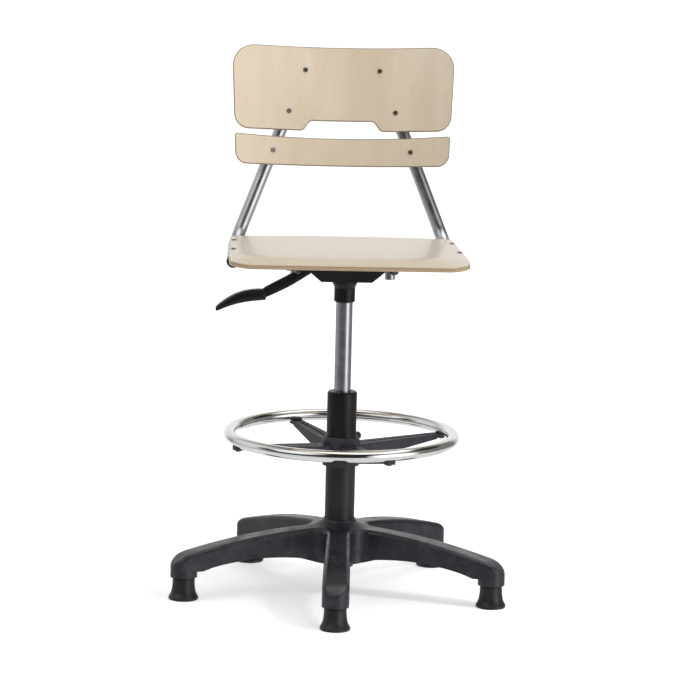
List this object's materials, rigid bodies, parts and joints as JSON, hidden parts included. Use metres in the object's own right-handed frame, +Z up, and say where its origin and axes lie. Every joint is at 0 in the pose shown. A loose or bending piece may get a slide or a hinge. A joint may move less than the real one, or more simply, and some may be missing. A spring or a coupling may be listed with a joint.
{
  "type": "drafting chair",
  "caption": "Height-adjustable drafting chair: plywood seat and split back on a bent tube frame, gas spring, foot ring and five-arm base on glides.",
  "frame": {"origin": "on the floor, on the column's axis", "axes": "+Z up; the sitter faces -Y, the backrest is towards +Y, +X is the sitter's left"},
  "size_m": [0.5628, 0.5987, 0.9026],
  "materials": {
    "base_nylon": "moulded black nylon, fine texture",
    "glide_plastic": "moulded black plastic",
    "steel": "turned steel",
    "column_paint": "satin black powder coat",
    "cylinder_steel": "satin chromed cylinder",
    "black_plastic": "smooth black plastic",
    "rubber": "rubber",
    "ring_chrome": "chrome plated tube",
    "spider_nylon": "moulded dark grey nylon",
    "screw_zinc": "zinc plated",
    "tube_satin": "satin chromed tube",
    "mechanism_paint": "black powder coat",
    "ply": "clear lacquered beech plywood"
  },
  "bodies": {
    "base": {"base_star": "base_nylon", "glide_1": "glide_plastic", "glide_2": "glide_plastic", "glide_3": "glide_plastic", "glide_4": "glide_plastic", "glide_5": "glide_plastic", "glide_stems": "steel", "column_tube": "column_paint", "column_guide": "black_plastic", "bearing_lower_race": "steel", "bearing_balls": "steel"},
    "rod": {"piston_rod": "steel", "piston": "steel", "bearing_upper_race": "steel", "rubber_buffer": "rubber", "rod_clip": "steel"},
    "ring": {"foot_ring": "ring_chrome", "ring_spider": "spider_nylon", "ring_screws": "screw_zinc"},
    "clamp": {"ring_clamp_screw": "screw_zinc"},
    "lever": {"lever_bar": "mechanism_paint", "lever_handle": "black_plastic"},
    "valve": {"release_pin": "steel"},
    "seat": {"back_screws": "screw_zinc", "back_spacers": "steel", "cross_tube_front": "tube_satin", "cross_tube_rear": "tube_satin", "frame_tube_left": "tube_satin", "frame_tube_right": "tube_satin", "gas_cylinder": "cylinder_steel", "lever_pin": "steel", "lower_back": "ply", "mechanism_pan": "mechanism_paint", "plate_bolts": "screw_zinc", "rail_plug_left": "black_plastic", "rail_plug_right": "black_plastic", "seat_panel": "ply", "seat_screws": "screw_zinc", "sleeve_nut_left": "tube_satin", "sleeve_nut_right": "tube_satin", "taper_sleeve": "black_plastic", "taper_socket": "mechanism_paint", "top_plug_left": "black_plastic", "top_plug_right": "black_plastic", "upper_back": "ply"}
  },
  "joints": [
    {"name": "seat_swivel", "type": "hinge", "parent": "base", "child": "rod", "pos_m": [0, 0, 0.05], "axis": [0, 0, 1], "continuous": true},
    {"name": "seat_height", "type": "slide", "parent": "rod", "child": "seat", "axis": [0, 0, 1], "range_m": [-0.095, 0.1]},
    {"name": "lever_lift", "type": "hinge", "parent": "seat", "child": "lever", "pos_m": [-0.034, 0, 0.551], "axis": [0, 1, 0], "range_deg": [0, 8], "stiffness_Nm_per_rad": 2, "springref_deg": -6.88},
    {"name": "valve_press", "type": "slide", "parent": "seat", "child": "valve", "axis": [0, 0, 1], "range_m": [-0.0054, 0]},
    {"name": "ring_height", "type": "slide", "parent": "base", "child": "ring", "axis": [0, 0, 1], "range_m": [-0.08, 0.07]},
    {"name": "clamp_turn", "type": "hinge", "parent": "ring", "child": "clamp", "pos_m": [0.02973, 0.02677, 0.2645], "axis": [0.7431, 0.6691, 0], "range_deg": [0, 360]}
  ],
  "couplings": [
    {"joint": "valve_press", "follows": "lever_lift", "m_per_rad": -0.0375}
  ]
}
